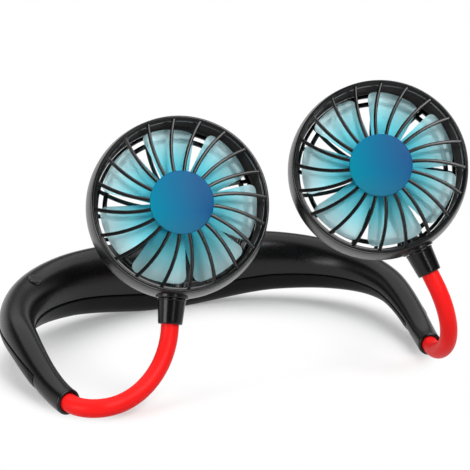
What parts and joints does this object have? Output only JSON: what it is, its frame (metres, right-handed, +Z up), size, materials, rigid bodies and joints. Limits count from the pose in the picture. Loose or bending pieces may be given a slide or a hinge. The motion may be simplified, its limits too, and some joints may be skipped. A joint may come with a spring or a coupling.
{
  "type": "neck fan",
  "caption": "Wearable neck fan: a hollow U-shaped neckband with a flexible arm at each tip, each carrying a caged round fan head.",
  "frame": {"origin": "middle of the flat foot under the back of the neckband", "axes": "+Z up, +X to the right arm, -Y from the back of the neckband towards its open front"},
  "size_m": [0.1818, 0.1456, 0.1165],
  "materials": {
    "shell_black": "fine matte moulded plastic",
    "tray_black": "finely textured moulded plastic",
    "button_black": "satin moulded plastic",
    "collar_black": "glossy moulded plastic",
    "drum_black": "satin gloss moulded plastic",
    "grille_black": "satin gloss moulded plastic",
    "cap_blue": "satin blue plastic",
    "impeller_ice": "pale translucent plastic",
    "sleeve_red": "smooth satin silicone",
    "steel": "plain steel",
    "bronze": "sintered bronze",
    "board_green": "circuit board",
    "switch_black": "moulded plastic",
    "battery_wrap": "foil pouch",
    "light_pipe": "clear light pipe",
    "lead_black": "insulated lead"
  },
  "bodies": {
    "neckband": {"upper_shell": "shell_black", "lower_shell": "tray_black", "battery_pack": "battery_wrap", "control_board": "board_green", "tact_switch": "switch_black", "charge_board": "board_green", "usb_socket": "steel", "charge_light": "light_pipe", "shell_screws": "steel", "left_core_root": "steel", "left_sleeve_root": "sleeve_red", "right_core_root": "steel", "right_sleeve_root": "sleeve_red"},
    "button": {"power_button": "button_black"},
    "left_lower_link": {"left_core_lower": "steel", "left_sleeve_lower": "sleeve_red"},
    "left_middle_link": {"left_core_middle": "steel", "left_sleeve_middle": "sleeve_red"},
    "left_upper_link": {"left_core_upper": "steel", "left_sleeve_upper": "sleeve_red", "left_collar": "collar_black"},
    "left_head": {"left_drum": "drum_black", "left_front_grille": "grille_black", "left_centre_cap": "cap_blue", "left_rear_grille": "grille_black", "left_motor_can": "steel", "left_motor_bush": "bronze", "left_motor_screws": "steel", "left_motor_lead": "lead_black"},
    "left_impeller_wheel": {"left_impeller": "impeller_ice", "left_motor_shaft": "steel"},
    "right_lower_link": {"right_core_lower": "steel", "right_sleeve_lower": "sleeve_red"},
    "right_middle_link": {"right_core_middle": "steel", "right_sleeve_middle": "sleeve_red"},
    "right_upper_link": {"right_core_upper": "steel", "right_sleeve_upper": "sleeve_red", "right_collar": "collar_black"},
    "right_head": {"right_drum": "drum_black", "right_front_grille": "grille_black", "right_centre_cap": "cap_blue", "right_rear_grille": "grille_black", "right_motor_can": "steel", "right_motor_bush": "bronze", "right_motor_screws": "steel", "right_motor_lead": "lead_black"},
    "right_impeller_wheel": {"right_impeller": "impeller_ice", "right_motor_shaft": "steel"}
  },
  "joints": [
    {"name": "power_button_press", "type": "slide", "parent": "neckband", "child": "button", "axis": [-0.3879, 0.2929, -0.8739], "range_m": [0, 0.0006], "stiffness_N_per_m": 800},
    {"name": "left_arm_sway", "type": "hinge", "parent": "neckband", "child": "left_lower_link", "pos_m": [-0.07723, -0.10617, 0.0052], "axis": [0.02, -0.0668, 0.9976], "range_deg": [-8, 25], "deforming": ["left_sleeve_root", "left_sleeve_lower"]},
    {"name": "left_arm_bend", "type": "hinge", "parent": "left_lower_link", "child": "left_middle_link", "pos_m": [-0.05996, -0.11559, 0.006], "axis": [0.2366, -0.9309, 0.2783], "range_deg": [-2, 30], "deforming": ["left_sleeve_lower", "left_sleeve_middle"]},
    {"name": "left_arm_curl", "type": "hinge", "parent": "left_middle_link", "child": "left_upper_link", "pos_m": [-0.04498, -0.10974, 0.01283], "axis": [0.2366, -0.9309, 0.2783], "range_deg": [-2, 30], "deforming": ["left_sleeve_middle", "left_sleeve_upper"]},
    {"name": "left_head_turn", "type": "hinge", "parent": "left_upper_link", "child": "left_head", "pos_m": [-0.0363, -0.10278, 0.02873], "axis": [0.2129, 0.3291, 0.92], "range_deg": [-60, 60]},
    {"name": "left_fan_spin", "type": "hinge", "parent": "left_head", "child": "left_impeller_wheel", "pos_m": [-0.02674, -0.08801, 0.07003], "axis": [-0.2228, -0.9004, 0.3737], "continuous": true},
    {"name": "right_arm_sway", "type": "hinge", "parent": "neckband", "child": "right_lower_link", "pos_m": [0.07723, -0.10617, 0.0052], "axis": [-0.02, -0.0668, 0.9976], "range_deg": [-20, 20], "deforming": ["right_sleeve_root", "right_sleeve_lower"]},
    {"name": "right_arm_bend", "type": "hinge", "parent": "right_lower_link", "child": "right_middle_link", "pos_m": [0.07241, -0.12357, 0.01062], "axis": [-0.9521, -0.0047, -0.3059], "range_deg": [-25, 20], "deforming": ["right_sleeve_lower", "right_sleeve_middle"]},
    {"name": "right_arm_curl", "type": "hinge", "parent": "right_middle_link", "child": "right_upper_link", "pos_m": [0.06809, -0.13208, 0.0242], "axis": [-0.9521, -0.0047, -0.3059], "range_deg": [-25, 20], "deforming": ["right_sleeve_middle", "right_sleeve_upper"]},
    {"name": "right_head_turn", "type": "hinge", "parent": "right_upper_link", "child": "right_head", "pos_m": [0.06172, -0.12742, 0.04396], "axis": [-0.2727, 0.466, 0.8417], "range_deg": [-60, 60]},
    {"name": "right_fan_spin", "type": "hinge", "parent": "right_head", "child": "right_impeller_wheel", "pos_m": [0.04947, -0.1065, 0.08175], "axis": [-0.3941, -0.8522, 0.3441], "continuous": true}
  ],
  "couplings": [
    {"joint": "left_arm_curl", "follows": "left_arm_bend", "ratio": 1},
    {"joint": "right_arm_curl", "follows": "right_arm_bend", "ratio": 1}
  ]
}
